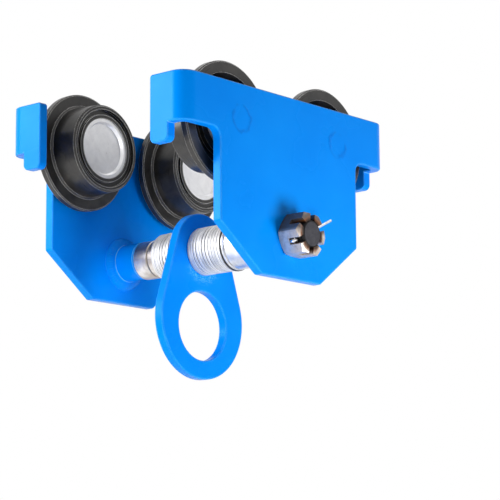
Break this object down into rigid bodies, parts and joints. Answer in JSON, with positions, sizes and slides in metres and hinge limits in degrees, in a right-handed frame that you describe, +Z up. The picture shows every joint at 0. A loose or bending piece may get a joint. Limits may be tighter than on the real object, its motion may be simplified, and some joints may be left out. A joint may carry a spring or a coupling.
{
  "type": "manual beam trolley",
  "caption": "Push trolley with bent side plates, flanged wheels and a spacer-set cross shaft carrying a swinging eye plate, for rolling a hung load along a beam.",
  "frame": {"origin": "level with the bottoms of the wheel treads, where the beam flange carries the trolley, midway between the two side plates and midway between the wheels along the beam", "axes": "+X along the beam, +Y across the beam from the plate with the castle nut to the plate with the bolt head, +Z up; the wheels are above the shaft and the load eye hangs below it"},
  "size_m": [0.236, 0.2148, 0.2253],
  "materials": {
    "blue_paint": "gloss",
    "zinc_plate": "bright zinc plate",
    "dark_steel": "blackened, dull",
    "bearing_steel": "ground",
    "black_paint": "semi-gloss",
    "black_rubber": "matt"
  },
  "bodies": {
    "trolley": {"front_side_plate": "blue_paint", "rear_side_plate": "blue_paint", "rear_boss": "blue_paint", "cross_shaft": "dark_steel", "castle_nut": "zinc_plate", "cotter_pin": "zinc_plate", "front_spacer": "zinc_plate", "end_washer": "zinc_plate", "black_ring": "black_rubber", "front_washers_odd": "zinc_plate", "front_washers_even": "zinc_plate", "rear_washers_odd": "zinc_plate", "rear_washers_even": "zinc_plate", "short_collar": "zinc_plate", "long_collar": "zinc_plate", "stud_front_left": "bearing_steel", "bearing_inner_front_left": "bearing_steel", "circlip_front_left": "dark_steel", "stud_front_right": "bearing_steel", "bearing_inner_front_right": "bearing_steel", "circlip_front_right": "dark_steel", "stud_rear_left": "bearing_steel", "bearing_inner_rear_left": "bearing_steel", "circlip_rear_left": "dark_steel", "stud_rear_right": "bearing_steel", "bearing_inner_rear_right": "bearing_steel", "circlip_rear_right": "dark_steel"},
    "eye": {"eye_plate": "blue_paint"},
    "wheel_front_left_set": {"wheel_front_left": "black_paint", "bearing_outer_front_left": "bearing_steel", "bearing_balls_front_left": "bearing_steel", "bearing_shields_front_left": "bearing_steel", "dust_cap_front_left": "zinc_plate"},
    "wheel_front_right_set": {"wheel_front_right": "black_paint", "bearing_outer_front_right": "bearing_steel", "bearing_balls_front_right": "bearing_steel", "bearing_shields_front_right": "bearing_steel", "dust_cap_front_right": "zinc_plate"},
    "wheel_rear_left_set": {"wheel_rear_left": "black_paint", "bearing_outer_rear_left": "bearing_steel", "bearing_balls_rear_left": "bearing_steel", "bearing_shields_rear_left": "bearing_steel", "dust_cap_rear_left": "zinc_plate"},
    "wheel_rear_right_set": {"wheel_rear_right": "black_paint", "bearing_outer_rear_right": "bearing_steel", "bearing_balls_rear_right": "bearing_steel", "bearing_shields_rear_right": "bearing_steel", "dust_cap_rear_right": "zinc_plate"}
  },
  "joints": [
    {"name": "front_left_wheel_spin", "type": "hinge", "parent": "trolley", "child": "wheel_front_left_set", "pos_m": [-0.056, -0.06615, 0.0355], "axis": [0, 1, 0], "continuous": true},
    {"name": "front_right_wheel_spin", "type": "hinge", "parent": "trolley", "child": "wheel_front_right_set", "pos_m": [0.056, -0.06615, 0.0355], "axis": [0, 1, 0], "continuous": true},
    {"name": "rear_left_wheel_spin", "type": "hinge", "parent": "trolley", "child": "wheel_rear_left_set", "pos_m": [-0.056, 0.06615, 0.0355], "axis": [0, 1, 0], "continuous": true},
    {"name": "rear_right_wheel_spin", "type": "hinge", "parent": "trolley", "child": "wheel_rear_right_set", "pos_m": [0.056, 0.06615, 0.0355], "axis": [0, 1, 0], "continuous": true},
    {"name": "eye_swing", "type": "hinge", "parent": "trolley", "child": "eye", "pos_m": [0, 0.002, -0.0445], "axis": [0, 1, 0], "continuous": true}
  ]
}
